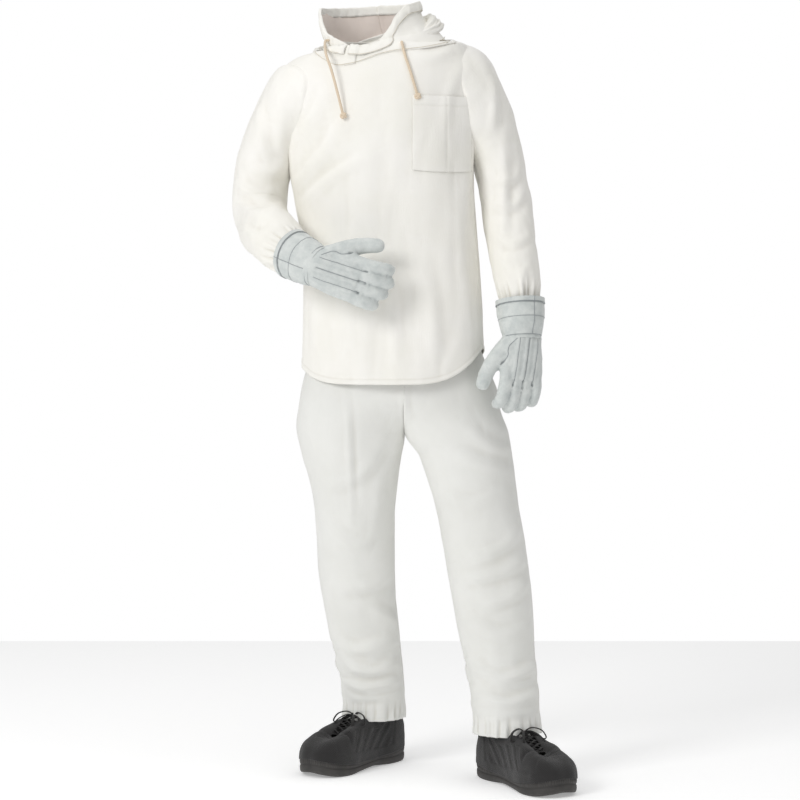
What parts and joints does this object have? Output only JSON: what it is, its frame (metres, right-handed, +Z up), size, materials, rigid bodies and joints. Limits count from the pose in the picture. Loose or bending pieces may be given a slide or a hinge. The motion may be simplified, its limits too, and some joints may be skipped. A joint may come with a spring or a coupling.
{
  "type": "beekeeping suit",
  "caption": "Two-piece protective suit shown as worn: pullover smock with a dropped drawcord hood, elasticated trousers, leather gloves and laced work shoes.",
  "frame": {"origin": "middle of the whole outline, on the floor under the soles", "axes": "+Z up, the front of the suit faces -Y, the wearer's left is +X"},
  "size_m": [0.6628, 0.4246, 1.4997],
  "materials": {
    "smock_cloth": "plain-woven cotton, matt",
    "trouser_cloth": "plain-woven cotton, matt",
    "elastic": "braided elastic",
    "cord": "braided cotton cord",
    "glove_leather": "split leather, napped",
    "sole_rubber": "moulded rubber, satin",
    "lace": "braided polyester",
    "lining": "felt insole",
    "shoe_upper": "grained synthetic leather"
  },
  "bodies": {
    "trousers": {"ankle_casing_left": "trouser_cloth", "ankle_casing_right": "trouser_cloth", "ankle_elastic_left": "elastic", "ankle_elastic_right": "elastic", "trouser_back_left": "trouser_cloth", "trouser_back_right": "trouser_cloth", "trouser_front_left": "trouser_cloth", "trouser_front_right": "trouser_cloth", "waist_elastic": "elastic", "waistband": "trouser_cloth"},
    "smock": {"chest_pocket": "smock_cloth", "drawcord_knot_left": "cord", "drawcord_knot_right": "cord", "drawcord_run": "cord", "drawcord_tail_left": "cord", "drawcord_tail_right": "cord", "hood_casing": "smock_cloth", "hood_left": "smock_cloth", "hood_right": "smock_cloth", "hood_roll": "smock_cloth", "sleeve_left_upper": "smock_cloth", "sleeve_right_upper": "smock_cloth", "smock_back": "smock_cloth", "smock_front": "smock_cloth"},
    "forearm_right": {"sleeve_right_lower": "smock_cloth", "cuff_casing_right": "smock_cloth", "cuff_elastic_right": "elastic"},
    "glove_right": {"glove_right_cuff": "glove_leather", "glove_right_hand": "glove_leather", "glove_right_thumb": "glove_leather"},
    "shoe_right": {"shoe_right_heel_counter": "shoe_upper", "shoe_right_insole": "lining", "shoe_right_lace": "lace", "shoe_right_midsole": "sole_rubber", "shoe_right_outsole": "sole_rubber", "shoe_right_toe_cap": "sole_rubber", "shoe_right_tongue": "shoe_upper", "shoe_right_upper": "shoe_upper"},
    "forearm_left": {"sleeve_left_lower": "smock_cloth", "cuff_casing_left": "smock_cloth", "cuff_elastic_left": "elastic"},
    "glove_left": {"glove_left_cuff": "glove_leather", "glove_left_hand": "glove_leather", "glove_left_thumb": "glove_leather"},
    "shoe_left": {"shoe_left_heel_counter": "shoe_upper", "shoe_left_insole": "lining", "shoe_left_lace": "lace", "shoe_left_midsole": "sole_rubber", "shoe_left_outsole": "sole_rubber", "shoe_left_toe_cap": "sole_rubber", "shoe_left_tongue": "shoe_upper", "shoe_left_upper": "shoe_upper"}
  },
  "joints": [
    {"name": "smock_lift", "type": "slide", "parent": "trousers", "child": "smock", "axis": [0, 0, 1], "range_m": [0, 0.3]},
    {"name": "elbow_right", "type": "hinge", "parent": "smock", "child": "forearm_right", "pos_m": [-0.26939, 0.03614, 1.093], "axis": [-0.9007, -0.4304, 0.0583], "range_deg": [-10, 20]},
    {"name": "elbow_left", "type": "hinge", "parent": "smock", "child": "forearm_left", "pos_m": [0.20861, -0.00786, 1.113], "axis": [-0.9007, 0.3619, -0.2403], "range_deg": [0, 30]},
    {"name": "glove_right_pull", "type": "slide", "parent": "forearm_right", "child": "glove_right", "axis": [0.6917, -0.634, -0.3458], "range_m": [0, 0.12]},
    {"name": "glove_left_pull", "type": "slide", "parent": "forearm_left", "child": "glove_left", "axis": [0.0613, -0.1839, -0.981], "range_m": [0, 0.12]},
    {"name": "shoe_right_off", "type": "slide", "parent": "trousers", "child": "shoe_right", "axis": [0, 0, -1], "range_m": [0, 0.14]},
    {"name": "shoe_left_off", "type": "slide", "parent": "trousers", "child": "shoe_left", "axis": [0, 0, -1], "range_m": [0, 0.14]}
  ]
}
